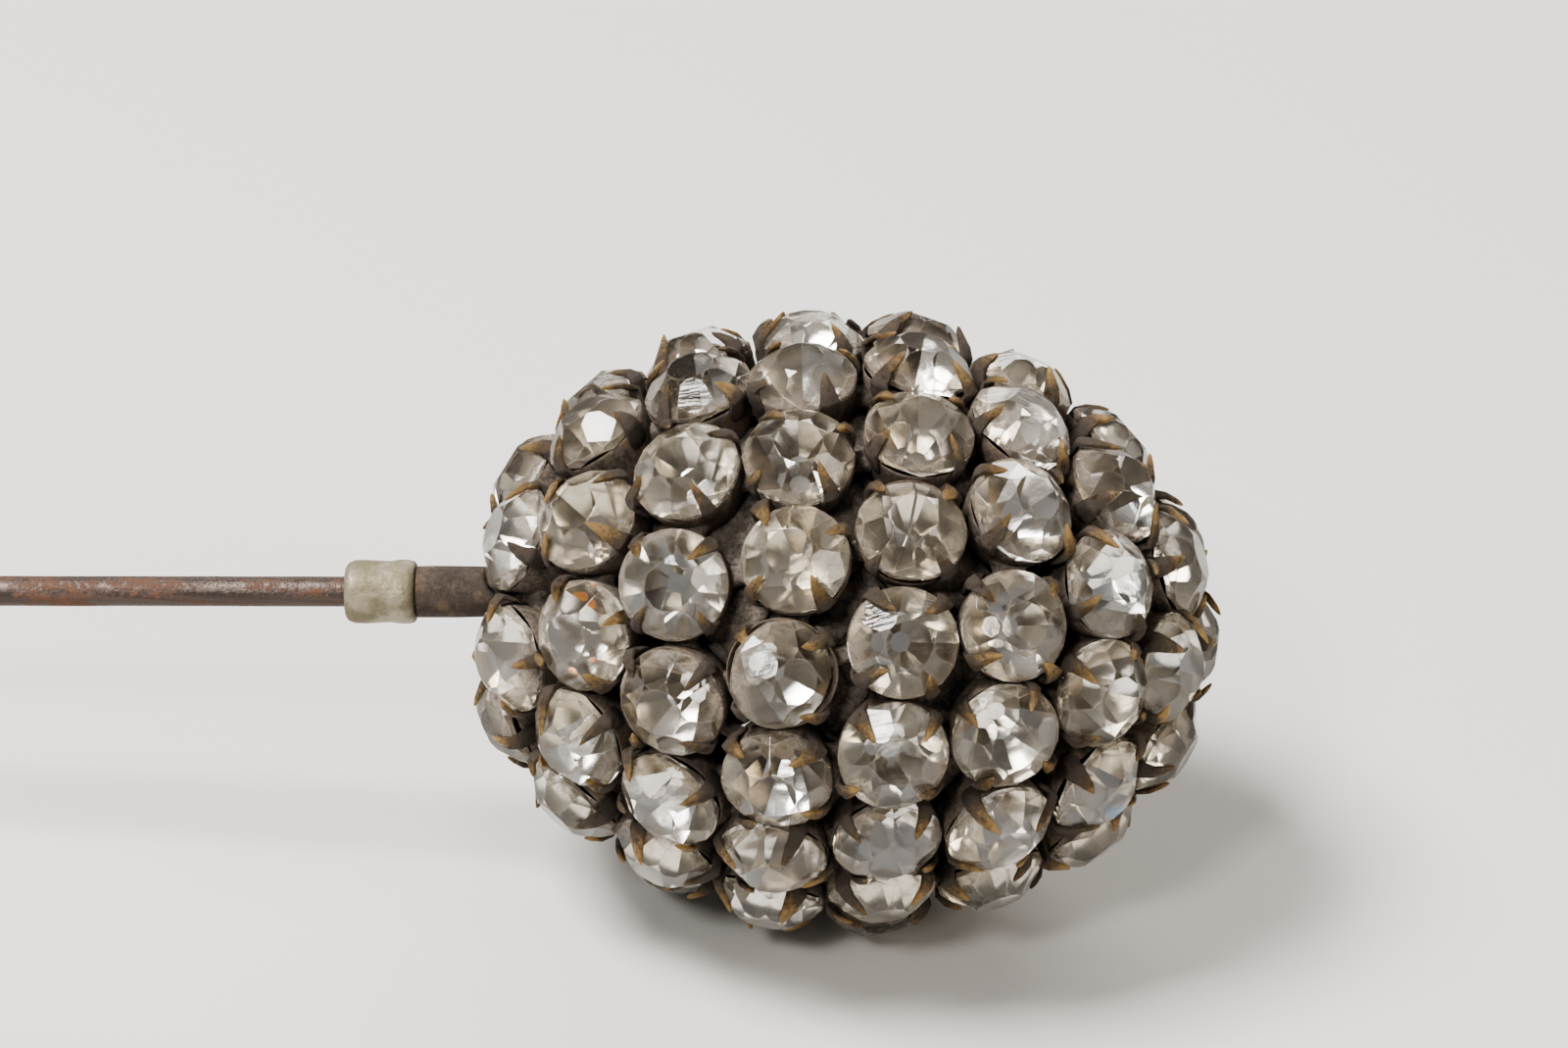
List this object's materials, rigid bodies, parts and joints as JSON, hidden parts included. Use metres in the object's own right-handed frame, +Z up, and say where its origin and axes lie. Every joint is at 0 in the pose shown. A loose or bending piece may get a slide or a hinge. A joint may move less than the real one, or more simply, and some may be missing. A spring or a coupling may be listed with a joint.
{
  "type": "hat pin",
  "caption": "Long straight steel hat pin with an egg-shaped openwork head of claw-set glass stones.",
  "frame": {"origin": "under the middle of the pin's box, on the surface that the head and the point rest on", "axes": "+X along the level axis of the head, away from the stem; +Z up; the point is at -X"},
  "size_m": [0.1776, 0.0226, 0.0227],
  "materials": {
    "stem_steel": "dull grey-brown steel with rust freckles",
    "pale_solder": "pale greenish aged solder over brass, worn edges",
    "dark_brass": "dark tarnished brass",
    "brass": "antique brass, bright worn claw tips, dark dusty cups",
    "glass": "faceted clear glass with foil at the back, slightly fogged"
  },
  "bodies": {
    "root": {"stem": "stem_steel", "collar": "pale_solder", "neck_tube": "dark_brass", "base_dish": "dark_brass", "tip_cup": "brass", "tip_stone": "glass", "cups_row_1": "brass", "stone_row_1_1": "glass", "stone_row_1_2": "glass", "stone_row_1_3": "glass", "stone_row_1_4": "glass", "stone_row_1_5": "glass", "stone_row_1_6": "glass", "cups_row_2": "brass", "stone_row_2_1": "glass", "stone_row_2_2": "glass", "stone_row_2_3": "glass", "stone_row_2_4": "glass", "stone_row_2_5": "glass", "stone_row_2_6": "glass", "stone_row_2_7": "glass", "stone_row_2_8": "glass", "stone_row_2_9": "glass", "stone_row_2_10": "glass", "stone_row_2_11": "glass", "cups_row_3": "brass", "stones_row_3": "glass", "cups_row_4": "brass", "stones_row_4": "glass", "cups_row_5": "brass", "stones_row_5": "glass", "cups_row_6": "brass", "stones_row_6": "glass", "cups_row_7": "brass", "stone_row_7_1": "glass", "stone_row_7_2": "glass", "stone_row_7_3": "glass", "stone_row_7_4": "glass", "stone_row_7_5": "glass", "stone_row_7_6": "glass", "stone_row_7_7": "glass", "stone_row_7_8": "glass", "stone_row_7_9": "glass", "stone_row_7_10": "glass", "stone_row_7_11": "glass", "cups_row_8": "brass", "stone_row_8_1": "glass", "stone_row_8_2": "glass", "stone_row_8_3": "glass", "stone_row_8_4": "glass", "stone_row_8_5": "glass", "stone_row_8_6": "glass"}
  },
  "joints": []
}
